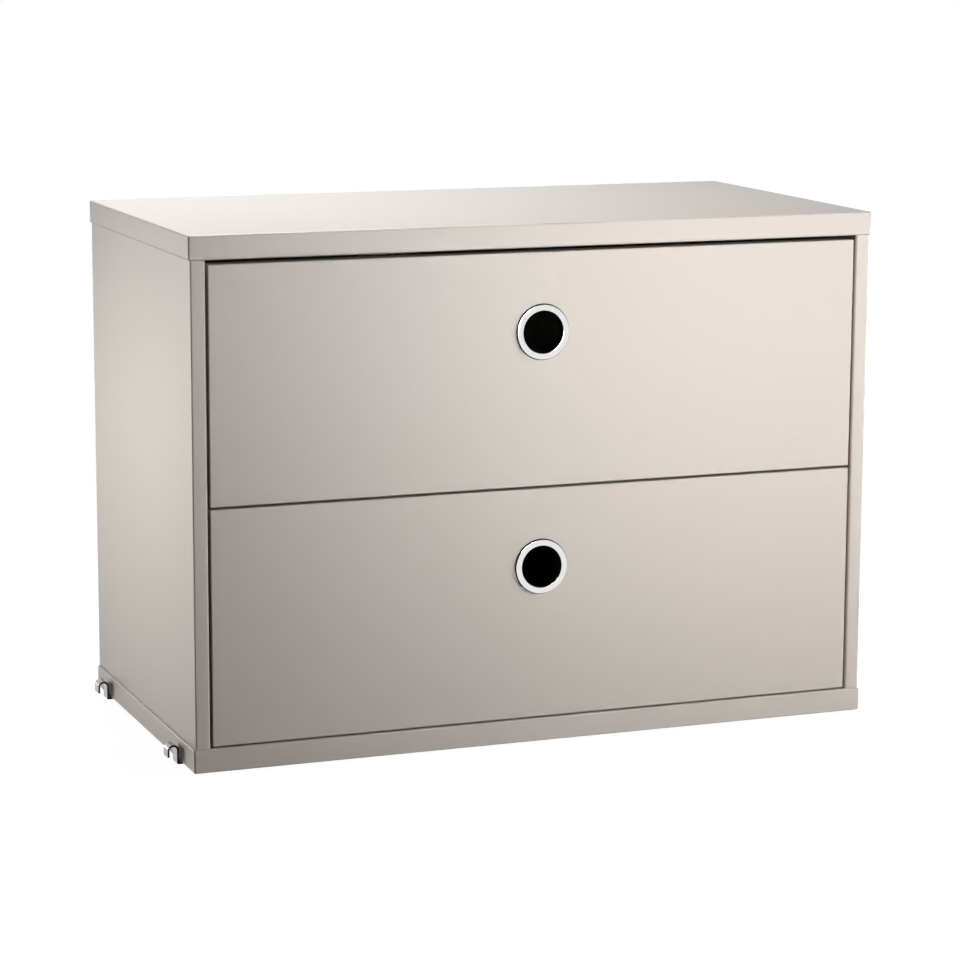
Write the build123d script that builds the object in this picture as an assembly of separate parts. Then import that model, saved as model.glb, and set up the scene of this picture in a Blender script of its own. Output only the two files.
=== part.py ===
from build123d import *
import os

# A two-drawer unit of lacquered board, hung by four strip hooks on the rungs of two end frames.
# Millimetres. X runs across the width, the front faces -Y, Z is up.
# X and Y are centred on the case, and Z is 0 under the hooks' feet.

# Case panels
case_width = 580
case_depth = 300
case_height = 420
slab_thickness = 19
side_thickness = 12
side_inset = 1.5
front_setback = 0.5
slab_edge_radius = 1.5
side_outer_edge_radius = 1.2
side_inner_edge_radius = 2
back_thickness = 4
back_setback = 10
back_tongue = 6

# Drawer fronts, and the gaps that show round them
drawer_levels = ("lower", "upper")
front_thickness = 16
front_edge_radius = 0.8
gap_above = 3.5
gap_between = 2
gap_below = 1.5
gap_beside = 2

# Drawer boxes
box_lift = 12
box_top_drop = 25.5
box_back_gap = 14.5
box_wall = 12
box_edge_radius = 1
floor_thickness = 4
floor_lift = 10
floor_tongue = 5

# Rings that line the finger holes
ring_radius = 22.7
ring_bore_radius = 17.2
ring_flange = 1.8
ring_sleeve_wall = 1.6
ring_edge_radius = 0.7
ring_drop = 63.5

# Hooks of bent strip
strip_thickness = 1.5
strip_width = 12
rung_seat_radius = 3.05
rung_seat_height = 9.8
hook_standoff = 1.6
hook_bend_radius = 0.4
hook_corner_radius = 0.9
hook_tip_height = 4.4
hook_foot = 40
hook_foot_corner = 4
hook_from_front = 44.5
hook_from_back = 37.5
hook_screw_insets = (14, 30)

# Roller runners
rail_steel = 1.2
rail_bend_radius = 0.5
runner_space = 12.5
rail_front_gap = 1.5
rail_back_gap = 3.5
roller_radius = 8
roller_edge_radius = 0.8
roller_inset = 10.5
roller_side_play = 0.5
axle_radius = 2.5
axle_tail_radius = 2
axle_head_radius = 4.2
axle_head = 1
axle_end_play = 0.2
axle_head_gap = 0.4
flange_side_gap = 0.8
flange_pass_gap = 1
flange_wall_gap = 2.5
shelf_lift = 0.6
lug_gap = 1.5
rail_screw_inset = 40

# Dowels
dowel_radius = 3
dowel_chamfer = 0.6
case_dowel_inset = 45
case_dowel_count = 3
slab_dowel_seat = 11
side_dowel_seat = 15
front_dowel_seat = 10
wall_dowel_seat = 18
corner_dowel_seat = 8
back_dowel_seat = 16
box_dowel_count = 3
box_dowel_low = 32
box_dowel_top_drop = 24

# Screws
screw_radius = 1.75
screw_head_radius = 3.4
hook_screw_length = 14
rail_screw_length = 10
pan_head = 1.8
pan_head_radius = 3.2
pan_screw_grip = 8.5

# Clearances
groove_play = 0.2
ring_play = 0.1
fastener_play = 0.05
axle_play = 0.05
running_gap = 0.3

# Levels and planes of the case
case_base = strip_thickness
cavity_floor = case_base + slab_thickness
cavity_top = case_base + case_height - slab_thickness
case_front = -case_depth / 2
case_back = case_depth / 2
side_outer = case_width / 2 - side_inset
side_inner = side_outer - side_thickness
front_face = case_front + front_setback
back_rear = case_back - back_setback
back_front = back_rear - back_thickness

# Drawer fronts and boxes
front_height = (cavity_top - cavity_floor - gap_above - gap_between - gap_below) / len(drawer_levels)
front_half_width = side_inner - gap_beside
front_rear = front_face + front_thickness
box_outer = side_inner - runner_space
box_inner = box_outer - box_wall
box_rear = back_front - box_back_gap
box_height = front_height - box_lift - box_top_drop
ring_sleeve_radius = ring_bore_radius + ring_sleeve_wall

# Runners, across: the rails share the space between the case side and the drawer side
drawer_web = runner_space - rail_steel
channel_reach = drawer_web - flange_side_gap
roller_width = (
    drawer_web - rail_steel - roller_side_play - axle_end_play - axle_head - axle_head_gap
)

# Runners, along: the drawer's roller runs between the channel's rear tab and its front lug
rail_front = front_rear + rail_front_gap
rail_rear = box_rear - rail_back_gap
case_roller_y = rail_front + roller_inset
lug_front = case_roller_y + roller_radius + lug_gap
lug_rear = lug_front + rail_steel
drawer_roller_y = rail_rear - rail_steel - running_gap - roller_radius
drawer_rail_rear = drawer_roller_y + roller_inset
drawer_travel = drawer_roller_y - roller_radius - running_gap - lug_rear

# Runners, up: heights above the underside of the drawer box
channel_floor = -rail_steel - shelf_lift
drawer_roller_z = channel_floor + running_gap + roller_radius
channel_ceiling = channel_floor + 2 * (running_gap + roller_radius)
drawer_flange = channel_ceiling + rail_steel + flange_pass_gap
case_roller_z = drawer_flange - running_gap - roller_radius


def front_base(level):
    """Height of a drawer front's lower edge."""
    return cavity_floor + gap_below + drawer_levels.index(level) * (front_height + gap_between)


def box_base(level):
    """Height of the underside of a drawer box."""
    return front_base(level) + box_lift


def block(x_span, y_span, z_span):
    """A box between the given limits on each axis."""
    spans = (x_span, y_span, z_span)
    middle = [(low + high) / 2 for low, high in spans]
    return Pos(*middle) * Box(*[high - low for low, high in spans])


def rounded(solid, radius):
    """A solid with all its edges rounded."""
    return fillet(solid.edges(), radius)


def rod(start, direction, radius, length):
    """A round bar from a start point along a direction."""
    bar = Cylinder(radius, length, align=(Align.CENTER, Align.CENTER, Align.MIN))
    return Plane(origin=start, z_dir=direction) * bar


def cone(start, direction, start_radius, end_radius, length):
    """A straight taper from a start point along a direction."""
    taper = Cone(start_radius, end_radius, length, align=(Align.CENTER, Align.CENTER, Align.MIN))
    return Plane(origin=start, z_dir=direction) * taper


def step_along(point, direction, distance):
    """A point moved along a direction."""
    return tuple(value + part * distance for value, part in zip(point, direction))


def dowel(joint, direction, seat_before, seat_after):
    """A wooden dowel across a joint face, a little short of both hole ends."""
    start = step_along(joint, direction, -seat_before)
    pin = rod(start, direction, dowel_radius, seat_before + seat_after)
    return chamfer(pin.edges().filter_by(GeomType.CIRCLE), dowel_chamfer)


def dowel_hole(joint, direction, seat):
    """A dowel's hole on one side of the joint face."""
    return rod(joint, direction, dowel_radius + fastener_play, seat + groove_play)


def countersunk_screw(head, direction, length):
    """A flat-headed screw, its head flush at the given point."""
    sink = screw_head_radius - screw_radius
    return cone(head, direction, screw_head_radius, screw_radius, sink) + rod(
        head, direction, screw_radius, length
    )


def countersunk_hole(head, direction, length):
    """The hole for a flat-headed screw, with the same play all round."""
    sink = screw_head_radius - screw_radius
    mouth = cone(
        head,
        direction,
        screw_head_radius + fastener_play,
        screw_radius + fastener_play,
        sink,
    )
    return mouth + rod(head, direction, screw_radius + fastener_play, length + groove_play)


def drawn_out(section, y_span):
    """A section across the unit, drawn out between two depths."""
    facing = Plane(origin=(0, y_span[1], 0), x_dir=(1, 0, 0), z_dir=(0, -1, 0))
    return extrude(facing * section, y_span[1] - y_span[0], dir=(0, -1, 0))


def for_side(solid, side):
    """A piece drawn for the right end, or its mirror image for the left."""
    return solid if side == "right" else mirror(solid, about=Plane.YZ)


def both_ends(solid):
    """A cutter for the right end together with its mirror image."""
    return [solid, mirror(solid, about=Plane.YZ)]


def save(name, *solids):
    """Write one named piece, or a group of like pieces."""
    body = solids[0] if len(solids) == 1 else Compound(children=list(solids))
    export_step(body, f"parts/{name}.step")


# Fixing points

hook_ys = {"front": case_front + hook_from_front, "rear": case_back - hook_from_back}
hook_screw_xs = [case_width / 2 - inset for inset in hook_screw_insets]
case_dowel_pitch = (case_back - front_face - 2 * case_dowel_inset) / (case_dowel_count - 1)
case_dowel_ys = [
    front_face + case_dowel_inset + step * case_dowel_pitch for step in range(case_dowel_count)
]
case_dowel_x = (side_outer + side_inner) / 2
box_dowel_x = (box_outer + box_inner) / 2
box_dowel_pitch = (box_height - box_dowel_low - box_dowel_top_drop) / (box_dowel_count - 1)
box_dowel_heights = [box_dowel_low + step * box_dowel_pitch for step in range(box_dowel_count)]
box_back_y = box_rear - box_wall / 2
case_rail_screw_ys = (lug_rear + rail_screw_inset, rail_rear - rail_screw_inset)
drawer_rail_screw_ys = (front_rear + rail_screw_inset, drawer_rail_rear - rail_screw_inset)
case_rail_screw_z = (channel_floor + channel_ceiling) / 2


# Case panels


def back_groove(z_span):
    """The slot in a panel for the edges of the back, as wide as the back."""
    reach = side_inner + back_tongue + groove_play
    return block((-reach, reach), (back_front - groove_play, back_rear + groove_play), z_span)


def slab(base, inner_face, inward):
    """The top or bottom panel: rounded all over, grooved and bored on its inner face."""
    panel = rounded(
        block(
            (-case_width / 2, case_width / 2),
            (case_front, case_back),
            (base, base + slab_thickness),
        ),
        slab_edge_radius,
    )
    groove_end = inner_face - inward * (back_tongue + groove_play)
    panel -= back_groove(sorted((inner_face, groove_end)))
    for y in case_dowel_ys:
        hole = dowel_hole((case_dowel_x, y, inner_face), (0, 0, -inward), slab_dowel_seat)
        panel -= both_ends(hole)
    return panel


def hook_screw_places():
    """Head points of the hook screws at the right end."""
    return [(x, y, 0) for y in hook_ys.values() for x in hook_screw_xs]


def bottom_panel():
    panel = slab(case_base, cavity_floor, 1)
    for place in hook_screw_places():
        panel -= both_ends(countersunk_hole(place, (0, 0, 1), hook_screw_length))
    return panel


def side_panel():
    """A side of the case, with its back groove, dowel holes and rail screw holes."""
    panel = block(
        (side_inner, side_outer), (front_face, case_back), (cavity_floor, cavity_top)
    )
    panel = fillet(panel.edges().filter_by(Axis.Z).group_by(Axis.X)[-1], side_outer_edge_radius)
    panel = fillet(panel.edges().filter_by(Axis.Z).group_by(Axis.X)[0], side_inner_edge_radius)
    panel -= back_groove((cavity_floor, cavity_top))
    for y in case_dowel_ys:
        for z, upward in ((cavity_floor, 1), (cavity_top, -1)):
            panel -= dowel_hole((case_dowel_x, y, z), (0, 0, upward), side_dowel_seat)
    for level in drawer_levels:
        for place in case_rail_screw_places(level):
            panel -= countersunk_hole(place, (1, 0, 0), rail_screw_length)
    return panel


def back_panel():
    reach = side_inner + back_tongue
    return block(
        (-reach, reach),
        (back_front, back_rear),
        (cavity_floor - back_tongue, cavity_top + back_tongue),
    )


def case_dowels():
    dowels = []
    for y in case_dowel_ys:
        for z, upward in ((cavity_floor, 1), (cavity_top, -1)):
            joint = (case_dowel_x, y, z)
            dowels += both_ends(dowel(joint, (0, 0, upward), slab_dowel_seat, side_dowel_seat))
    return dowels


# Hooks


def hook_outline():
    """The bent strip seen along the rung: foot, bend, inner leg, arch and outer leg."""
    edge = case_width / 2
    leg_in = edge + hook_standoff
    leg_out = leg_in + strip_thickness
    tip_in = leg_out + 2 * rung_seat_radius
    tip_out = tip_in + strip_thickness
    seat_x = leg_out + rung_seat_radius
    seat_z = case_base + rung_seat_height
    tip_z = case_base + hook_tip_height
    bend_x = leg_in - hook_bend_radius
    bend_z = strip_thickness + hook_bend_radius
    corner_x = leg_out - hook_corner_radius
    outer_arch = rung_seat_radius + strip_thickness
    return [
        Line((edge - hook_foot, 0), (corner_x, 0)),
        CenterArc((corner_x, hook_corner_radius), hook_corner_radius, -90, 90),
        Line((leg_out, hook_corner_radius), (leg_out, seat_z)),
        CenterArc((seat_x, seat_z), rung_seat_radius, 180, -180),
        Line((tip_in, seat_z), (tip_in, tip_z)),
        Line((tip_in, tip_z), (tip_out, tip_z)),
        Line((tip_out, tip_z), (tip_out, seat_z)),
        CenterArc((seat_x, seat_z), outer_arch, 0, 180),
        Line((leg_in, seat_z), (leg_in, bend_z)),
        CenterArc((bend_x, bend_z), hook_bend_radius, 0, -90),
        Line((bend_x, strip_thickness), (edge - hook_foot, strip_thickness)),
        Line((edge - hook_foot, strip_thickness), (edge - hook_foot, 0)),
    ]


def hook(y):
    """A hook at the right end, its strip centred on the given depth."""
    strip = drawn_out(make_face(hook_outline()), (y - strip_width / 2, y + strip_width / 2))
    foot_corners = strip.edges().filter_by(Axis.Z).group_by(Axis.X)[0]
    strip = fillet(foot_corners, hook_foot_corner)
    for x in hook_screw_xs:
        strip -= countersunk_hole((x, y, 0), (0, 0, 1), hook_screw_length)
    return strip


def hook_screws():
    screws = []
    for place in hook_screw_places():
        screws += both_ends(countersunk_screw(place, (0, 0, 1), hook_screw_length))
    return screws


# Runners, drawn for the right end: "out" is the distance from the case side towards the drawer


def out(*distances):
    """X limits at the given distances from the case side."""
    return tuple(sorted(side_inner - distance for distance in distances))


def folded_sheet(corners, outer_bends, inner_bends, y_span):
    """A rail of folded sheet: corners of its section (out, up), the bent ones, and its depths."""
    section = Polygon(*[(side_inner - far, up) for far, up in corners], align=None)
    for bends, radius in (
        (outer_bends, rail_bend_radius + rail_steel),
        (inner_bends, rail_bend_radius),
    ):
        for far, up in bends:
            corner = section.vertices().sort_by_distance((side_inner - far, up))[0]
            section = fillet(corner, radius)
    return drawn_out(section, y_span)


def case_rail(level):
    """A channel on the case side, with its roller's axle hole, front lug and rear tab."""
    base = box_base(level)
    floor = base + channel_floor
    ceiling = base + channel_ceiling
    bottom = floor - rail_steel
    top = ceiling + rail_steel
    rail = folded_sheet(
        corners=[
            (0, bottom),
            (channel_reach, bottom),
            (channel_reach, floor),
            (rail_steel, floor),
            (rail_steel, ceiling),
            (channel_reach, ceiling),
            (channel_reach, top),
            (0, top),
        ],
        outer_bends=[(0, bottom), (0, top)],
        inner_bends=[(rail_steel, floor), (rail_steel, ceiling)],
        y_span=(rail_front, rail_rear),
    )
    notch = (ceiling - rail_bend_radius, top)
    rail -= block(out(0, channel_reach), (rail_front, lug_front), notch)
    rail += block(out(rail_steel / 2, channel_reach), (lug_front, lug_rear), (floor, floor + roller_radius))
    rail += block(out(rail_steel / 2, channel_reach), (rail_rear - rail_steel, rail_rear), (floor, ceiling))
    axle_place = (side_inner, case_roller_y, base + case_roller_z)
    rail -= rod(axle_place, (-1, 0, 0), axle_tail_radius + fastener_play, rail_steel)
    for place in case_rail_screw_places(level):
        rail -= countersunk_hole(place, (1, 0, 0), rail_screw_length)
    return rail


def case_rail_screw_places(level):
    """Head points of one right-hand case rail's screws, on the face of its web."""
    z = box_base(level) + case_rail_screw_z
    return [(side_inner - rail_steel, y, z) for y in case_rail_screw_ys]


def case_rail_screws():
    screws = []
    for level in drawer_levels:
        for place in case_rail_screw_places(level):
            screws += both_ends(countersunk_screw(place, (1, 0, 0), rail_screw_length))
    return screws


def drawer_rail_screw_places(level):
    """Head points of one right-hand drawer rail's screws, under its shelf."""
    return [(box_dowel_x, y, box_base(level) - rail_steel) for y in drawer_rail_screw_ys]


def drawer_rail(level):
    """A rail on the drawer side: outward flange, web, and a shelf under the drawer side."""
    base = box_base(level)
    under = base - rail_steel
    flange = base + drawer_flange
    top = flange + rail_steel
    shelf_reach = runner_space + box_wall
    rail = folded_sheet(
        corners=[
            (flange_wall_gap, flange),
            (drawer_web, flange),
            (drawer_web, under),
            (shelf_reach, under),
            (shelf_reach, base),
            (runner_space, base),
            (runner_space, top),
            (flange_wall_gap, top),
        ],
        outer_bends=[(runner_space, top), (drawer_web, under)],
        inner_bends=[(drawer_web, flange), (runner_space, base)],
        y_span=(front_rear, drawer_rail_rear),
    )
    axle_place = (side_inner - runner_space, drawer_roller_y, base + drawer_roller_z)
    rail -= rod(axle_place, (1, 0, 0), axle_tail_radius + fastener_play, rail_steel)
    for place in drawer_rail_screw_places(level):
        rail -= rod(place, (0, 0, 1), screw_radius + fastener_play, rail_steel)
    return rail


def drawer_rail_screws(level):
    screws = []
    for place in drawer_rail_screw_places(level):
        head = rod(place, (0, 0, -1), pan_head_radius, pan_head)
        shank = rod(place, (0, 0, 1), screw_radius, rail_steel + pan_screw_grip)
        screws += both_ends(head + shank)
    return screws


def axle(back_of_web, direction):
    """A riveted axle: tail through the web, shank through the roller, and a flat head."""
    shoulder = step_along(back_of_web, direction, rail_steel)
    shank = roller_side_play + roller_width + axle_end_play
    head = step_along(shoulder, direction, shank)
    pin = rod(back_of_web, direction, axle_tail_radius, rail_steel)
    pin += rod(shoulder, direction, axle_radius, shank)
    return pin + rod(head, direction, axle_head_radius, axle_head)


def roller(back_of_web, direction):
    """A plain wheel that turns on an axle's shank."""
    face = step_along(back_of_web, direction, rail_steel + roller_side_play)
    wheel = rod(face, direction, roller_radius, roller_width)
    wheel = fillet(wheel.edges().filter_by(GeomType.CIRCLE), roller_edge_radius)
    return wheel - rod(face, direction, axle_radius + axle_play, roller_width)


def roller_seats(level):
    """Where the right-hand axles leave the backs of their webs, and which way they point."""
    base = box_base(level)
    on_case = (side_inner, case_roller_y, base + case_roller_z)
    on_drawer = (side_inner - runner_space, drawer_roller_y, base + drawer_roller_z)
    return {"case": (on_case, (-1, 0, 0)), "drawer": (on_drawer, (1, 0, 0))}


# Drawers


def ring_place(level):
    """Centre of the finger hole on a drawer front's face."""
    return (0, front_face, front_base(level) + front_height - ring_drop)


def floor_groove(level):
    """The slot for the edges of a drawer's floor, cut round all four walls."""
    base = box_base(level) + floor_lift
    reach = box_inner + floor_tongue + groove_play
    return block(
        (-reach, reach),
        (front_rear - floor_tongue - groove_play, box_rear - box_wall + floor_tongue + groove_play),
        (base - groove_play, base + floor_thickness + groove_play),
    )


def front_dowel_joints(level):
    """Where the right-hand drawer side meets the front."""
    return [(box_dowel_x, front_rear, box_base(level) + height) for height in box_dowel_heights]


def back_dowel_joints(level):
    """Where the right-hand drawer side meets the drawer back."""
    return [(box_inner, box_back_y, box_base(level) + height) for height in box_dowel_heights]


def drawer_front(level):
    base = front_base(level)
    panel = rounded(
        block(
            (-front_half_width, front_half_width),
            (front_face, front_rear),
            (base, base + front_height),
        ),
        front_edge_radius,
    )
    panel -= rod(ring_place(level), (0, 1, 0), ring_sleeve_radius + ring_play, front_thickness)
    panel -= floor_groove(level)
    for joint in front_dowel_joints(level):
        panel -= both_ends(dowel_hole(joint, (0, -1, 0), front_dowel_seat))
    return panel


def drawer_side(level):
    base = box_base(level)
    panel = block((box_inner, box_outer), (front_rear, box_rear), (base, base + box_height))
    panel = fillet(panel.edges().filter_by(Axis.Y), box_edge_radius)
    panel -= floor_groove(level)
    for joint in front_dowel_joints(level):
        panel -= dowel_hole(joint, (0, 1, 0), wall_dowel_seat)
    for joint in back_dowel_joints(level):
        panel -= dowel_hole(joint, (1, 0, 0), corner_dowel_seat)
    for place in drawer_rail_screw_places(level):
        length = rail_steel + pan_screw_grip + groove_play
        panel -= rod(place, (0, 0, 1), screw_radius + fastener_play, length)
    return panel


def drawer_back(level):
    base = box_base(level)
    panel = block(
        (-box_inner, box_inner), (box_rear - box_wall, box_rear), (base, base + box_height)
    )
    top_edges = panel.edges().filter_by(Axis.X).group_by(Axis.Z)[-1]
    panel = fillet(top_edges, box_edge_radius)
    panel -= floor_groove(level)
    for joint in back_dowel_joints(level):
        panel -= both_ends(dowel_hole(joint, (-1, 0, 0), back_dowel_seat))
    return panel


def drawer_floor(level):
    base = box_base(level) + floor_lift
    reach = box_inner + floor_tongue
    return block(
        (-reach, reach),
        (front_rear - floor_tongue, box_rear - box_wall + floor_tongue),
        (base, base + floor_thickness),
    )


def drawer_dowels(level):
    dowels = []
    for joint in front_dowel_joints(level):
        dowels += both_ends(dowel(joint, (0, 1, 0), front_dowel_seat, wall_dowel_seat))
    for joint in back_dowel_joints(level):
        dowels += both_ends(dowel(joint, (1, 0, 0), back_dowel_seat, corner_dowel_seat))
    return dowels


def finger_ring(level):
    """A turned ring: a flange on the face of the front, and a sleeve through its hole."""
    face = ring_place(level)
    lip = step_along(face, (0, -1, 0), ring_flange)
    ring = rod(lip, (0, 1, 0), ring_radius, ring_flange)
    ring += rod(face, (0, 1, 0), ring_sleeve_radius, front_thickness)
    ring -= rod(lip, (0, 1, 0), ring_bore_radius, ring_flange + front_thickness)
    lip_edges = ring.edges().filter_by(GeomType.CIRCLE).group_by(Axis.Y)[0]
    return fillet(lip_edges, ring_edge_radius)


# Write every piece

os.makedirs("parts", exist_ok=True)

save("top_panel", slab(cavity_top, cavity_top, -1))
save("bottom_panel", bottom_panel())
save("back_panel", back_panel())
save("case_dowels", *case_dowels())
save("hook_screws", *hook_screws())
save("case_rail_screws", *case_rail_screws())

for side in ("left", "right"):
    save(f"{side}_side_panel", for_side(side_panel(), side))
    for place, y in hook_ys.items():
        save(f"{side}_{place}_hook", for_side(hook(y), side))

for level in drawer_levels:
    save(f"{level}_drawer_front", drawer_front(level))
    save(f"{level}_drawer_back", drawer_back(level))
    save(f"{level}_drawer_floor", drawer_floor(level))
    save(f"{level}_drawer_dowels", *drawer_dowels(level))
    save(f"{level}_finger_ring", finger_ring(level))
    save(f"{level}_drawer_rail_screws", *drawer_rail_screws(level))
    for carrier, (seat, direction) in roller_seats(level).items():
        save(f"{level}_{carrier}_roller_axles", *both_ends(axle(seat, direction)))
        for side in ("left", "right"):
            save(f"{level}_{side}_{carrier}_roller", for_side(roller(seat, direction), side))
    for side in ("left", "right"):
        save(f"{level}_{side}_drawer_side", for_side(drawer_side(level), side))
        save(f"{level}_{side}_case_rail", for_side(case_rail(level), side))
        save(f"{level}_{side}_drawer_rail", for_side(drawer_rail(level), side))
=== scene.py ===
from math import acos, cos, pi, radians, sin

import bmesh
import bpy
from mathutils import Matrix, Vector


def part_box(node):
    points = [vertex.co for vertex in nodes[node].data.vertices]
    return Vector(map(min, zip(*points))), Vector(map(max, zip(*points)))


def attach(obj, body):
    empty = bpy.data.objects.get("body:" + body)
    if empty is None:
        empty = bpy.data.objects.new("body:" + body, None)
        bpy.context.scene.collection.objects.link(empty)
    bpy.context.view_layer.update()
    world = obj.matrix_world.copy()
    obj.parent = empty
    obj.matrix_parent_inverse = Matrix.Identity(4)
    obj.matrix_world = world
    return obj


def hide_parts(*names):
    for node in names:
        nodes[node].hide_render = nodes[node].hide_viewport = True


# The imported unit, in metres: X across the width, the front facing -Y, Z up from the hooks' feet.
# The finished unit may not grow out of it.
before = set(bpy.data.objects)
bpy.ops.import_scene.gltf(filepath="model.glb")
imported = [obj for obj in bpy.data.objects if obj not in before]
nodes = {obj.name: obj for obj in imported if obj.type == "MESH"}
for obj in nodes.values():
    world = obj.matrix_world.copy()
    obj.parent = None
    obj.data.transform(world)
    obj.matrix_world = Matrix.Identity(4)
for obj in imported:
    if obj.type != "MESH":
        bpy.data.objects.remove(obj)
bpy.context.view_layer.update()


# The case is four panels of medium-density fibreboard, joined by dowels and sprayed all over
# with a warm beige satin lacquer. The film levels out as it dries, but keeps a faint orange
# peel and a slight drift in tone and gloss from one pass of the gun to the next.
lacquer_colour = (0.543, 0.492, 0.446, 1)
lacquer_roughness = 0.36
lacquer_peel = 700
lacquer_depth = 0.000006
spray_tone_drift = 0.05
spray_gloss_drift = 0.1
spray_pass = 5


def add(tree, kind, inputs=(), **settings):
    """A node in a tree: plain inputs are set, and sockets are linked."""
    node = tree.nodes.new(kind)
    for setting, value in settings.items():
        setattr(node, setting, value)
    for socket, value in dict(inputs).items():
        if isinstance(value, bpy.types.NodeSocket):
            tree.links.new(value, node.inputs[socket])
        else:
            node.inputs[socket].default_value = value
    return node


def effect(name, inputs, outputs):
    """An empty shader node group, with the sockets it is given and the ones it answers with."""
    group = bpy.data.node_groups.new(name, "ShaderNodeTree")
    for socket, kind in inputs.items():
        group.interface.new_socket(socket, in_out="INPUT", socket_type=kind)
    for socket, kind in outputs.items():
        group.interface.new_socket(socket, in_out="OUTPUT", socket_type=kind)
    given = group.nodes.new("NodeGroupInput").outputs
    answer = group.nodes.new("NodeGroupOutput").inputs
    return group, given, answer


def worked_surface():
    """Drift in tone and gloss, and fine relief: what spraying, rolling or turning leaves behind."""
    group, given, answer = effect(
        "worked_surface",
        inputs={
            "Vector": "NodeSocketVector",
            "Colour": "NodeSocketColor",
            "Tone Spread": "NodeSocketFloat",
            "Roughness": "NodeSocketFloat",
            "Roughness Spread": "NodeSocketFloat",
            "Broad Scale": "NodeSocketFloat",
            "Fine Scale": "NodeSocketFloat",
        },
        outputs={
            "Colour": "NodeSocketColor",
            "Roughness": "NodeSocketFloat",
            "Height": "NodeSocketFloat",
        },
    )
    noise_middle = 0.5
    place = given["Vector"]
    broad = add(group, "ShaderNodeTexNoise", {"Vector": place, "Scale": given["Broad Scale"]})
    fine = add(group, "ShaderNodeTexNoise", {"Vector": place, "Scale": given["Fine Scale"]})
    drift = add(
        group,
        "ShaderNodeMath",
        {0: broad.outputs["Fac"], 1: noise_middle},
        operation="SUBTRACT",
    )
    tone = add(
        group,
        "ShaderNodeMath",
        {0: drift.outputs[0], 1: given["Tone Spread"], 2: 1},
        operation="MULTIPLY_ADD",
    )
    colour = add(
        group,
        "ShaderNodeVectorMath",
        {"Vector": given["Colour"], "Scale": tone.outputs[0]},
        operation="SCALE",
    )
    gloss = add(
        group,
        "ShaderNodeMath",
        {0: drift.outputs[0], 1: given["Roughness Spread"], 2: given["Roughness"]},
        operation="MULTIPLY_ADD",
    )
    group.links.new(colour.outputs["Vector"], answer["Colour"])
    group.links.new(gloss.outputs[0], answer["Roughness"])
    group.links.new(fine.outputs["Fac"], answer["Height"])
    return group


worked_surface_group = worked_surface()


def new_finish(name, stretch=(1, 1, 1), centre=(0, 0, 0)):
    """A new material: its tree, its shader, and its place on the piece, centred and stretched."""
    finish = bpy.data.materials.new(name)
    finish.use_nodes = True
    tree = finish.node_tree
    place = add(tree, "ShaderNodeTexCoord").outputs["Object"]
    offset = [-along * factor for along, factor in zip(centre, stretch)]
    drawn = add(tree, "ShaderNodeMapping", {"Vector": place, "Location": offset, "Scale": stretch})
    return finish, tree, tree.nodes["Principled BSDF"], drawn.outputs["Vector"]


def work(tree, place, colour, roughness, tone, gloss, broad, fine):
    """A worked surface: how far its tone and gloss drift, and its broad and fine marks per metre."""
    values = {
        "Vector": place,
        "Colour": colour,
        "Tone Spread": tone,
        "Roughness": roughness,
        "Roughness Spread": gloss,
        "Broad Scale": broad,
        "Fine Scale": fine,
    }
    return add(tree, "ShaderNodeGroup", values, node_tree=worked_surface_group).outputs


def coat(tree, shader, surface, depth):
    """Lay a worked surface on a shader, with its relief as deep as given, in metres."""
    bump = add(tree, "ShaderNodeBump", {"Height": surface["Height"], "Strength": 1, "Distance": depth})
    tree.links.new(surface["Colour"], shader.inputs["Base Color"])
    tree.links.new(surface["Roughness"], shader.inputs["Roughness"])
    tree.links.new(bump.outputs["Normal"], shader.inputs["Normal"])


def sprayed(name, colour, roughness, peel, depth):
    """A sprayed finish: lacquer on board, or powder coat on steel."""
    finish, tree, shader, place = new_finish(name)
    surface = work(
        tree,
        place,
        colour,
        roughness,
        tone=spray_tone_drift,
        gloss=spray_gloss_drift,
        broad=spray_pass,
        fine=peel,
    )
    coat(tree, shader, surface, depth)
    return finish


def dress(finish, *node_names):
    """Give pieces of the frame their finish."""
    for name in node_names:
        nodes[name].material_slots[0].material = finish


lacquer = sprayed("lacquer", lacquer_colour, lacquer_roughness, lacquer_peel, lacquer_depth)
dress(lacquer, "top_panel", "bottom_panel", "left_side_panel", "right_side_panel")


# The back is a thin sheet of fibreboard, let into grooves of the four panels round it. It has
# one thin coat of the same beige, so it is flatter than the case and its fibres show through.
back_colour = (0.5, 0.435, 0.388, 1)
back_roughness = 0.55
back_fibre = 1400
back_depth = 0.00004
back_board = sprayed("back_board", back_colour, back_roughness, back_fibre, back_depth)
dress(back_board, "back_panel")


# Beech dowels, fluted when they are made and glued into both sides of a joint, hold the case
# and the drawer boxes together. The grain runs along them, with short dark flecks.
beech_colour = (0.48, 0.29, 0.14, 1)
beech_fleck = (0.3, 0.16, 0.07, 1)
beech_roughness = 0.6
beech_depth = 0.00005
grain_draw = 0.15


def mixed(tree, share, first, second):
    """One colour, with a share of a second over it."""
    factor, first_colour, second_colour, result = 0, 6, 7, 2
    inputs = {factor: share, first_colour: first, second_colour: second}
    return add(tree, "ShaderNodeMix", inputs, data_type="RGBA").outputs[result]


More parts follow.
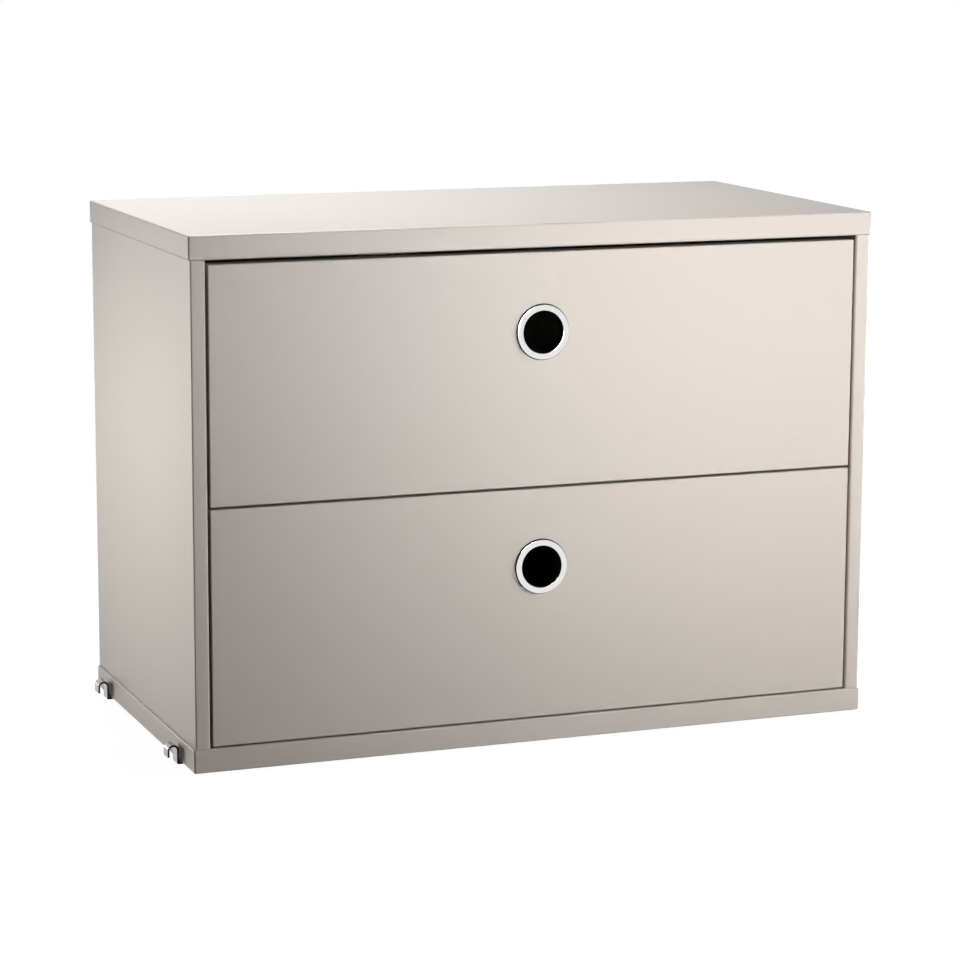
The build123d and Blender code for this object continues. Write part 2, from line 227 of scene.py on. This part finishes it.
def flecked():
    """Flecks of a second colour, scattered over a first one where a noise rises high enough."""
    group, given, answer = effect(
        "flecked",
        inputs={
            "Vector": "NodeSocketVector",
            "Colour": "NodeSocketColor",
            "Fleck Colour": "NodeSocketColor",
            "Scale": "NodeSocketFloat",
            "Detail": "NodeSocketFloat",
            "Faint From": "NodeSocketFloat",
            "Full From": "NodeSocketFloat",
            "Full Share": "NodeSocketFloat",
        },
        outputs={"Colour": "NodeSocketColor"},
    )
    pattern = {socket: given[socket] for socket in ("Vector", "Scale", "Detail")}
    spots = add(group, "ShaderNodeTexNoise", pattern)
    share = add(
        group,
        "ShaderNodeMapRange",
        {
            "Value": spots.outputs["Fac"],
            "From Min": given["Faint From"],
            "From Max": given["Full From"],
            "To Max": given["Full Share"],
        },
    )
    colour = mixed(group, share.outputs[0], given["Colour"], given["Fleck Colour"])
    group.links.new(colour, answer["Colour"])
    return group


flecked_group = flecked()


def beech(name, stretch):
    """Plain beech, its grain drawn out along the dowels."""
    finish, tree, shader, place = new_finish(name, stretch=stretch)
    grain = work(tree, place, beech_colour, beech_roughness, tone=0.5, gloss=0.1, broad=400, fine=2500)
    values = {
        "Vector": place,
        "Colour": grain["Colour"],
        "Fleck Colour": beech_fleck,
        "Scale": 1500,
        "Detail": 2,
        "Faint From": 0.6,
        "Full From": 0.75,
        "Full Share": 1,
    }
    flecks = add(tree, "ShaderNodeGroup", values, node_tree=flecked_group)
    coat(tree, shader, grain, beech_depth)
    tree.links.new(flecks.outputs["Colour"], shader.inputs["Base Color"])
    return finish


dress(beech("standing_beech", (1, 1, grain_draw)), "case_dowels")
dress(
    beech("lying_beech", (grain_draw, grain_draw, 1)),
    "lower_drawer_dowels",
    "upper_drawer_dowels",
)


# The runners' rails are folded from thin sheet steel and powder-coated off-white. One of each
# pair is screwed to the case side, and the other wraps the lower edge of the drawer side.
rail_colour = (0.7, 0.695, 0.66, 1)
rail_roughness = 0.42
rail_peel = 1800
rail_depth = 0.00003
levels = ("lower", "upper")
sides = ("left", "right")
carriers = ("case", "drawer")
rail_coat = sprayed("rail_coating", rail_colour, rail_roughness, rail_peel, rail_depth)
rails = [f"{level}_{side}_{on}_rail" for level in levels for side in sides for on in carriers]
dress(rail_coat, *rails)


# The rails' screws are zinc-plated, with cross recesses: flat heads sunk flush in the case rails,
# and round pan heads under the drawer rails, where there is room for them.
zinc_colour = (0.58, 0.58, 0.56, 1)
zinc_roughness = 0.36
zinc_depth = 0.000006
screw_radius = 0.00175
flat_head_radius = 0.0034
flat_head_sink = flat_head_radius - screw_radius
pan_head_radius = 0.0032
pan_head_crown = 0.0021
pan_head = 0.0018
dome_steps = 4
screw_point = 0.0022
rail_screw_length = 0.01
pan_screw_grip = 0.0097
recess_width = 0.0008
recess_reach = 0.0019
recess_depth = 0.0013
recess_taper = 0.6
round_steps = 32
like_points = 1e-7
crease_angle = radians(30)

zinc, tree, shader, place = new_finish("zinc_plating")
shader.inputs["Metallic"].default_value = 1
surface = work(tree, place, zinc_colour, zinc_roughness, tone=0.35, gloss=0.25, broad=900, fine=5000)
coat(tree, shader, surface, zinc_depth)


def turned(outline, steps=round_steps):
    """A round shape about the Z axis, turned from (along, radius) points of its outline."""
    shape = bmesh.new()
    line = [shape.verts.new((radius, 0, along)) for along, radius in outline]
    runs = [shape.edges.new(ends) for ends in zip(line, line[1:])]
    bmesh.ops.spin(
        shape,
        geom=line + runs,
        cent=(0, 0, 0),
        axis=(0, 0, 1),
        angle=2 * pi,
        steps=steps,
        use_merge=True,
    )
    bmesh.ops.remove_doubles(shape, verts=shape.verts, dist=like_points)
    bmesh.ops.recalc_face_normals(shape, faces=shape.faces)
    return shape


def of_kind(geometry, kind):
    """The vertices, edges or faces in an operator's answer."""
    return [item for item in geometry if isinstance(item, kind)]


def press_cross(shape, head_face):
    """Close the open top of a screw's head at the given height, with a cross pressed into it."""
    rim = [edge for edge in shape.edges if edge.is_boundary]
    heart = bmesh.ops.create_grid(
        shape,
        x_segments=1,
        y_segments=1,
        size=recess_width / 2,
        matrix=Matrix.Translation((0, 0, head_face)),
    )
    middle = heart["verts"][0].link_faces[0]
    cross = [middle]
    for edge in list(middle.edges):
        outward = (edge.verts[0].co + edge.verts[1].co) / 2 - Vector((0, 0, head_face))
        arm = bmesh.ops.extrude_edge_only(shape, edges=[edge])["geom"]
        reach = outward.normalized() * (recess_reach - recess_width / 2)
        bmesh.ops.translate(shape, verts=of_kind(arm, bmesh.types.BMVert), vec=reach)
        cross += of_kind(arm, bmesh.types.BMFace)
    sunk = bmesh.ops.extrude_face_region(shape, geom=cross)["geom"]
    bottom = of_kind(sunk, bmesh.types.BMVert)
    bmesh.ops.scale(shape, verts=bottom, vec=(recess_taper, recess_taper, 1))
    bmesh.ops.translate(shape, verts=bottom, vec=(0, 0, recess_depth))
    bmesh.ops.delete(shape, geom=cross, context="FACES")
    mouth = [edge for edge in shape.edges if edge.is_boundary and edge not in rim]
    bmesh.ops.bridge_loops(shape, edges=rim + mouth)
    bmesh.ops.recalc_face_normals(shape, faces=shape.faces)


def flat_head_screw(length):
    """A screw with a flat sunk head, its face at zero and its point along +Z."""
    shape = turned(
        [
            (0, flat_head_radius),
            (flat_head_sink, screw_radius),
            (length - screw_point, screw_radius),
            (length, 0),
        ]
    )
    press_cross(shape, 0)
    return shape


def dome(seat, rise, rim, crown):
    """The outline of a domed head, from its rim on the seat to the flat on its crown."""
    sweep = acos(crown / rim)
    turns = [sweep * step / dome_steps for step in range(dome_steps + 1)]
    return [(seat + rise * sin(turn) / sin(sweep), rim * cos(turn)) for turn in turns]


def pan_head_screw(grip):
    """A screw with a round pan head, seated at zero with its point along +Z."""
    shape = turned(
        [
            *reversed(dome(0, -pan_head, pan_head_radius, pan_head_crown)),
            (0, screw_radius),
            (grip - screw_point, screw_radius),
            (grip, 0),
        ]
    )
    press_cross(shape, -pan_head)
    return shape


def towards(place, direction):
    """The setting that puts a shape's zero at a place and turns its +Z in a direction."""
    turn = Vector(direction).to_track_quat("Z", "Y").to_matrix().to_4x4()
    return Matrix.Translation(place) @ turn


def set_out(shape, settings):
    """Like pieces in one mesh: a copy of a shape at each of its settings."""
    pattern = bpy.data.meshes.new("pattern")
    shape.to_mesh(pattern)
    shape.free()
    gathered = bmesh.new()
    for setting in settings:
        first = len(gathered.verts)
        gathered.from_mesh(pattern)
        gathered.verts.ensure_lookup_table()
        bmesh.ops.transform(gathered, matrix=setting, verts=gathered.verts[first:])
    bpy.data.meshes.remove(pattern)
    return gathered


def fit(name, shape, finishes, slot, body, *replaced):
    """A finished piece in the scene, on its body, in place of the frame's plain ones."""
    mesh = bpy.data.meshes.new(name)
    shape.to_mesh(mesh)
    shape.free()
    for finish in finishes:
        mesh.materials.append(finish)
    mesh.shade_smooth()
    mesh.set_sharp_from_angle(angle=crease_angle)
    piece = bpy.data.objects.new(name, mesh)
    bpy.context.scene.collection.objects.link(piece)
    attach(piece, body)
    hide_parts(*replaced)


def inner_limits(node_name, radius):
    """The lowest and highest centres of like round pieces in one node, from the node's box."""
    low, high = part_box(node_name)
    margin = Vector((radius, radius, radius))
    return low + margin, high - margin


low, high = inner_limits("case_rail_screws", flat_head_radius)
web_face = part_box("case_rail_screws")[1].x - rail_screw_length
case_rail_settings = [
    towards((end * web_face, y, z), (end, 0, 0))
    for end in (-1, 1)
    for y in (low.y, high.y)
    for z in (low.z, high.z)
]
fit(
    "case_rail_flat_screws",
    set_out(flat_head_screw(rail_screw_length), case_rail_settings),
    [zinc],
    "screw_steel",
    "case",
    "case_rail_screws",
)
for level in levels:
    node_name = f"{level}_drawer_rail_screws"
    low, high = inner_limits(node_name, pan_head_radius)
    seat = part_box(node_name)[0].z + pan_head
    settings = [towards((x, y, seat), (0, 0, 1)) for x in (low.x, high.x) for y in (low.y, high.y)]
    fit(
        f"{level}_drawer_rail_pan_screws",
        set_out(pan_head_screw(pan_screw_grip), settings),
        [zinc],
        "screw_steel",
        f"{level}_drawer",
        node_name,
    )


# Each rail carries one roller of white nylon, moulded with a raised hub and rim. It turns on a
# plated axle, whose tail is riveted through the rail's web and whose head is domed.
nylon_colour = (0.76, 0.755, 0.71, 1)
nylon_roughness = 0.4
nylon_depth = 0.00001
nylon_glow = 0.15
nylon_glow_reach = 0.002
roller_rim = 0.0011
roller_hub = 0.0021
roller_dish = 0.0009
roller_edge = 0.0003
web_thickness = 0.0012
tail_radius = 0.002
axle_radius = 0.0025
axle_play = 0.00005
axle_shank = 0.0087
axle_head_radius = 0.0042
axle_head_crown = 0.0019
axle_head = 0.001
edge_segments = 3

nylon, tree, shader, place = new_finish("nylon")
shader.inputs["Subsurface Weight"].default_value = nylon_glow
shader.inputs["Subsurface Scale"].default_value = nylon_glow_reach
surface = work(tree, place, nylon_colour, nylon_roughness, tone=0.06, gloss=0.1, broad=150, fine=3000)
coat(tree, shader, surface, nylon_depth)


def ease(shape, radius, edges):
    """Round over some edges of a shape."""
    bmesh.ops.bevel(
        shape,
        geom=edges,
        offset=radius,
        offset_type="OFFSET",
        segments=edge_segments,
        profile=0.5,
        affect="EDGES",
        clamp_overlap=True,
        material=-1,
    )


def sharp_edges(shape):
    """The edges where a shape's faces meet at a clear angle."""
    return [edge for edge in shape.edges if edge.calc_face_angle(0) > crease_angle]


def roller(width, radius):
    """A wheel with dished faces, from zero along +Z."""
    bore = axle_radius + axle_play
    hub = bore + roller_hub
    rim = radius - roller_rim
    shape = turned(
        [
            (0, bore),
            (0, hub),
            (roller_dish, hub),
            (roller_dish, rim),
            (0, rim),
            (0, radius),
            (width, radius),
            (width, rim),
            (width - roller_dish, rim),
            (width - roller_dish, hub),
            (width, hub),
            (width, bore),
            (0, bore),
        ]
    )
    ease(shape, roller_edge, sharp_edges(shape))
    return shape


def axle():
    """A riveted axle from the back of a rail's web along +Z."""
    head = web_thickness + axle_shank
    return turned(
        [
            (0, 0),
            (0, tail_radius),
            (web_thickness, tail_radius),
            (web_thickness, axle_radius),
            (head, axle_radius),
            *dome(head, axle_head, axle_head_radius, axle_head_crown),
            (head + axle_head, 0),
        ]
    )


axle_length = web_thickness + axle_shank + axle_head
for level in levels:
    for on in carriers:
        axle_node = f"{level}_{on}_roller_axles"
        axis = inner_limits(axle_node, axle_head_radius)[0]
        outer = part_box(axle_node)[1].x
        web_back = outer if on == "case" else outer - axle_length
        outward = -1 if on == "case" else 1
        settings = [
            towards((end * web_back, axis.y, axis.z), (end * outward, 0, 0)) for end in (-1, 1)
        ]
        body = "case" if on == "case" else f"{level}_drawer"
        fit(
            f"{level}_{on}_riveted_axles",
            set_out(axle(), settings),
            [zinc],
            "screw_steel",
            body,
            axle_node,
        )
        for side in sides:
            roller_node = f"{level}_{side}_{on}_roller"
            low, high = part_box(roller_node)
            middle = (low + high) / 2
            wheel = roller(high.x - low.x, (high.z - low.z) / 2)
            setting = towards((low.x, middle.y, middle.z), (1, 0, 0))
            fit(
                f"{level}_{side}_{on}_dished_roller",
                set_out(wheel, [setting]),
                [nylon],
                "roller_plastic",
                f"{level}_{side}_{on}_wheel",
                roller_node,
            )


# The drawer boxes are sides and a back of foil-faced fibreboard in pale beige. The foil is
# pressed with a fine grain along each board, and a floor of thin board sits in their grooves.
foil_colour = (0.6, 0.553, 0.51, 1)
foil_roughness = 0.5
foil_depth = 0.00003
foil_draw = 0.06
floor_colour = (0.64, 0.605, 0.56, 1)
floor_fleck = (0.48, 0.42, 0.36, 1)
floor_roughness = 0.45
floor_depth = 0.00002


def foil(name, stretch):
    """Pressed foil, its grain drawn out along the board."""
    finish, tree, shader, place = new_finish(name, stretch=stretch)
    surface = work(tree, place, foil_colour, foil_roughness, tone=0.08, gloss=0.12, broad=60, fine=1600)
    coat(tree, shader, surface, foil_depth)
    return finish


side_foil = foil("drawer_side_foil", (1, foil_draw, 1))
back_foil = foil("drawer_back_foil", (foil_draw, 1, 1))
floor_face, tree, shader, place = new_finish("drawer_floor_face")
surface = work(tree, place, floor_colour, floor_roughness, tone=0.05, gloss=0.1, broad=12, fine=900)
floor_flecks = {
    "Vector": place,
    "Colour": surface["Colour"],
    "Fleck Colour": floor_fleck,
    "Scale": 600,
    "Detail": 4,
    "Faint From": 0.62,
    "Full From": 0.72,
    "Full Share": 0.5,
}
fibres = add(tree, "ShaderNodeGroup", floor_flecks, node_tree=flecked_group)
coat(tree, shader, surface, floor_depth)
tree.links.new(fibres.outputs["Colour"], shader.inputs["Base Color"])
for level in levels:
    dress(side_foil, *[f"{level}_{side}_drawer_side" for side in sides])
    dress(back_foil, f"{level}_drawer_back")
    dress(floor_face, f"{level}_drawer_floor")


# The drawer fronts are the same lacquered board as the case. They are sprayed as loose panels
# with a round finger hole, and then doweled to the boxes.
dress(lacquer, *[f"{level}_drawer_front" for level in levels])


# A turned steel ring lines each finger hole. Its face is bright metal, and its tapered flank, sleeve and
# bore are painted near black, as painted shade and dark reflection in the hole. Its sleeve is pressed
# into the hole.
bright_colour = (0.77, 0.762, 0.75, 1)
bright_roughness = 0.08
bright_depth = 0.000002
painted_shade_colour = (0.014, 0.013, 0.012, 1)
black_roughness = 0.45
black_gloss = 0.15
black_depth = 0.000004
ring_radius = 0.0227
ring_face_radius = 0.0218
bore_radius = 0.0172
sleeve_radius = 0.0188
ring_flange = 0.0018
ring_edge = 0.00015
ring_land = 0.0004
ring_steps = 128
ring_plane = (1, 0, 1)
steepest_face = -0.5


def turned_face(name, centre):
    """Bright metal with the marks of a turning tool round the ring's own axis."""
    finish, tree, shader, place = new_finish(name, centre=centre)
    flat = add(tree, "ShaderNodeVectorMath", {0: place, 1: ring_plane}, operation="MULTIPLY")
    radius = add(tree, "ShaderNodeVectorMath", {0: flat.outputs["Vector"]}, operation="LENGTH")
    along = add(tree, "ShaderNodeCombineXYZ", {"X": radius.outputs["Value"]})
    surface = work(
        tree,
        along.outputs["Vector"],
        bright_colour,
        bright_roughness,
        tone=0.06,
        gloss=0.03,
        broad=1500,
        fine=9000,
    )
    shader.inputs["Metallic"].default_value = 1
    coat(tree, shader, surface, bright_depth)
    return finish


# The near-black finish is painted shade and dark reflection, laid on every face of the ring but its
# bright face.
painted_shade_finish, tree, shader, place = new_finish("painted_shade_steel")
shader.inputs["Specular IOR Level"].default_value = black_gloss
surface = work(tree, place, painted_shade_colour, black_roughness, tone=0.5, gloss=0.15, broad=300, fine=4000)
coat(tree, shader, surface, black_depth)


def finger_ring(depth):
    """A flanged ring, its face at zero and its sleeve along +Z."""
    shape = turned(
        [
            (0, bore_radius),
            (0, bore_radius + ring_land),
            (0, ring_face_radius - ring_land),
            (0, ring_face_radius),
            (ring_flange, ring_radius),
            (ring_flange, sleeve_radius),
            (depth, sleeve_radius),
            (depth, bore_radius),
            (0, bore_radius),
        ],
        ring_steps,
    )
    ease(shape, ring_edge, sharp_edges(shape))
    # Only the front face is bright metal. Every other face gets the near-black painted shade.
    for face in shape.faces:
        on_face = face.calc_center_median().z < ring_edge and face.normal.z < steepest_face
        face.material_index = 0 if on_face else 1
    return shape


for level in levels:
    low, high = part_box(f"{level}_finger_ring")
    centre = ((low.x + high.x) / 2, low.y, (low.z + high.z) / 2)
    ring = set_out(finger_ring(high.y - low.y), [towards(centre, (0, 1, 0))])
    fit(
        f"{level}_turned_ring",
        ring,
        [turned_face(f"{level}_ring_face", centre), painted_shade_finish],
        "ring_metal",
        f"{level}_drawer",
        f"{level}_finger_ring",
    )


# Four hooks under the ends of the case hang it on the rungs. They are bent from bright plated
# strip. The strip's cut edges, which face front and back, are painted near black as painted shade and
# dark reflection.
plating_colour = (0.34, 0.34, 0.335, 1)
plating_roughness = 0.28
plating_depth = 0.000004
strip_draw = 0.05
edge_painted_shade = (0.006, 0.006, 0.006, 1)
edge_shade_from = 0.8
edge_shade_full = 0.95
hook_plating, tree, shader, place = new_finish("hook_plating", stretch=(strip_draw, 1, strip_draw))
rolled = work(tree, place, plating_colour, plating_roughness, tone=0.2, gloss=0.2, broad=1200, fine=5000)
# Faces that look to the front or back are painted near black: painted shade and dark reflection, chosen
# by facing.
facing = add(tree, "ShaderNodeNewGeometry").outputs["True Normal"]
across = add(tree, "ShaderNodeSeparateXYZ", {"Vector": facing}).outputs["Y"]
towards_front_or_back = add(tree, "ShaderNodeMath", {0: across}, operation="ABSOLUTE")
edge_shade_share = add(
    tree,
    "ShaderNodeMapRange",
    {"Value": towards_front_or_back.outputs[0], "From Min": edge_shade_from, "From Max": edge_shade_full},
)
shader.inputs["Metallic"].default_value = 1
coat(tree, shader, rolled, plating_depth)
strip = mixed(tree, edge_shade_share.outputs[0], rolled["Colour"], edge_painted_shade)
tree.links.new(strip, shader.inputs["Base Color"])
dress(hook_plating, *[f"{side}_{end}_hook" for side in sides for end in ("front", "rear")])


# Two flat-headed screws hold each hook's foot to the underside of the bottom panel. They sit
# flush, so the unit can also stand on the feet.
hook_screw_length = 0.014
hook_screw_pitch = 0.016
low, high = inner_limits("hook_screws", flat_head_radius)
hook_screw_settings = [
    towards((x, y, 0), (0, 0, 1))
    for x in (low.x, low.x + hook_screw_pitch, high.x - hook_screw_pitch, high.x)
    for y in (low.y, high.y)
]
fit(
    "hook_flat_screws",
    set_out(flat_head_screw(hook_screw_length), hook_screw_settings),
    [zinc],
    "screw_steel",
    "case",
    "hook_screws",
)


# The studio floor is a wide pale disc just under the feet. It is white to the camera and in
# reflections, with a little of the lamps' light on it, so that the unit keeps a soft shadow.
# From below it is clear.
studio_radius = 6
studio_steps = 96
studio_drop = 0.0002
studio_matt = (0.1, 0.1, 0.1, 1)
near_glow = 0.96
glow_from = 0.5
glow_to = 2


def seen_by_eye(tree):
    """One for rays from the camera, in reflections and through clear pieces, or else zero."""
    rays = add(tree, "ShaderNodeLightPath").outputs
    direct = add(
        tree,
        "ShaderNodeMath",
        {0: rays["Is Camera Ray"], 1: rays["Is Glossy Ray"]},
        operation="ADD",
    )
    either = add(
        tree,
        "ShaderNodeMath",
        {0: direct.outputs[0], 1: rays["Is Transmission Ray"]},
        operation="ADD",
        use_clamp=True,
    )
    return either.outputs[0]


disc = bmesh.new()
bmesh.ops.create_circle(disc, cap_ends=True, radius=studio_radius, segments=studio_steps)
bmesh.ops.translate(disc, verts=disc.verts, vec=(0, 0, -studio_drop))
floor_mesh = bpy.data.meshes.new("studio_floor")
disc.to_mesh(floor_mesh)
disc.free()
studio_floor = bpy.data.objects.new("studio_floor", floor_mesh)
bpy.context.scene.collection.objects.link(studio_floor)
floor_finish = bpy.data.materials.new("studio_floor")
floor_finish.use_nodes = True
floor_mesh.materials.append(floor_finish)
tree = floor_finish.node_tree
tree.nodes.clear()
place = add(tree, "ShaderNodeTexCoord").outputs["Object"]
away = add(tree, "ShaderNodeVectorMath", {0: place}, operation="LENGTH")
glow = add(
    tree,
    "ShaderNodeMapRange",
    {
        "Value": away.outputs["Value"],
        "From Min": glow_from,
        "From Max": glow_to,
        "To Min": near_glow,
        "To Max": 1,
    },
    interpolation_type="SMOOTHSTEP",
)
strength = add(
    tree, "ShaderNodeMath", {0: seen_by_eye(tree), 1: glow.outputs[0]}, operation="MULTIPLY"
)
white = add(tree, "ShaderNodeEmission", {"Strength": strength.outputs[0]})
matt = add(tree, "ShaderNodeBsdfDiffuse", {"Color": studio_matt})
top_face = add(tree, "ShaderNodeAddShader", {0: white.outputs[0], 1: matt.outputs[0]})
under_face = add(tree, "ShaderNodeBsdfTransparent")
from_under = add(tree, "ShaderNodeNewGeometry").outputs["Backfacing"]
one_sided = add(
    tree, "ShaderNodeMixShader", {0: from_under, 1: top_face.outputs[0], 2: under_face.outputs[0]}
)
add(tree, "ShaderNodeOutputMaterial", {"Surface": one_sided.outputs[0]})


# The studio is white to the camera. As light it is dim, and in reflections it is white behind the
# unit and to the right in front, with dark screens elsewhere, so edges and metal have contrast.
ambient = 0.04
screen = 0.06
bright_ways = {(0.1, 0.97, 0.2): 1.0, (-0.7, 0.7, 0.2): 0.5, (0.36, -0.9, -0.2): 0.6}
bright_focus = 4
world = bpy.data.worlds.new("studio")
world.use_nodes = True
bpy.context.scene.world = world
tree = world.node_tree
tree.nodes.clear()
rays = add(tree, "ShaderNodeLightPath").outputs
way = add(tree, "ShaderNodeTexCoord").outputs["Generated"]
reflected = screen
for aim, strength in bright_ways.items():
    near = add(
        tree, "ShaderNodeVectorMath", {0: way, 1: Vector(aim).normalized()}, operation="DOT_PRODUCT"
    )
    ahead = add(tree, "ShaderNodeMath", {0: near.outputs["Value"], 1: 0}, operation="MAXIMUM")
    pool = add(tree, "ShaderNodeMath", {0: ahead.outputs[0], 1: bright_focus}, operation="POWER")
    reflected = add(
        tree, "ShaderNodeMath", {0: pool.outputs[0], 1: strength, 2: reflected}, operation="MULTIPLY_ADD"
    ).outputs[0]


def chosen(tree, share, first, second):
    """One value, or a second one as the share goes from zero to one."""
    factor, first_value, second_value = 0, 2, 3
    inputs = {factor: share, first_value: first, second_value: second}
    return add(tree, "ShaderNodeMix", inputs).outputs[0]


light = chosen(tree, rays["Is Glossy Ray"], ambient, reflected)
light = chosen(tree, rays["Is Transmission Ray"], light, 1)
light = chosen(tree, rays["Is Camera Ray"], light, 1)
surround = add(tree, "ShaderNodeBackground", {"Color": (1, 1, 1, 1), "Strength": light})
add(tree, "ShaderNodeOutputWorld", {"Surface": surround.outputs[0]})


# Five soft boxes with grids light the unit: a broad one on the right, a weak one in front, a
# warm one behind on the left, one high behind, and a low one behind on the right for the back.
# The broad one is kept out of reflections, where it would glare on the top.


def soft_box(name, place, aim, size, spread, power, colour=(1, 1, 1), reflected=True):
    """A square soft lamp, turned towards the point it lights, with its light held in a cone."""
    lamp = bpy.data.lights.new(name, "AREA")
    lamp.shape = "SQUARE"
    lamp.size = size
    lamp.spread = spread
    lamp.energy = power
    lamp.color = colour
    stand = bpy.data.objects.new(name, lamp)
    stand.location = place
    stand.rotation_euler = (Vector(aim) - Vector(place)).to_track_quat("-Z", "Y").to_euler()
    stand.visible_camera = False
    stand.visible_glossy = reflected
    bpy.context.scene.collection.objects.link(stand)


warm = (1, 0.95, 0.89)
soft_box(
    "right_box",
    place=(1.732, -0.939, 0.708),
    aim=(-0.568, -0.15, 0.405),
    size=0.9,
    spread=2.989,
    power=39.15,
    reflected=False,
)
soft_box(
    "front_box",
    place=(0.345, -2.1, 0.35),
    aim=(0.171, -0.15, 0.375),
    size=0.5,
    spread=0.517,
    power=1.11,
)
soft_box(
    "left_box",
    place=(-1.14, 1.02, 0.235),
    aim=(-0.29, -0.03, 0.197),
    size=0.36,
    spread=0.455,
    power=0.53,
    colour=warm,
)
soft_box(
    "top_box",
    place=(0.046, 0.799, 1.8),
    aim=(-0.4, 0.129, 0.42),
    size=0.9,
    spread=1.122,
    power=7,
)
soft_box(
    "back_box",
    place=(0.9, 1.7, 0.22),
    aim=(0, 0.15, 0.21),
    size=0.36,
    spread=1.4,
    power=3.5,
)


# The camera stands in front, to the left of the unit and a little above it, with a long lens.
# Its place, turn, tilt and roll come from the edges of the panels in the photograph.
camera_place = (-0.94543, -2.45509, 0.67714)
camera_turn = 0.3694
camera_tilt = 0.183
camera_roll = 0.0042
camera_lens = 119.06
camera_sensor = 36
camera_data = bpy.data.cameras.new("camera")
camera_data.sensor_width = camera_sensor
camera_data.lens = camera_lens
camera = bpy.data.objects.new("camera", camera_data)
turn = Matrix.Rotation(-camera_turn, 4, "Z")
tilt = Matrix.Rotation(pi / 2 - camera_tilt, 4, "X")
roll = Matrix.Rotation(camera_roll, 4, "Z")
camera.matrix_world = Matrix.Translation(camera_place) @ turn @ tilt @ roll
bpy.context.scene.collection.objects.link(camera)
bpy.context.scene.camera = camera
bpy.context.scene.view_settings.view_transform = "Standard"
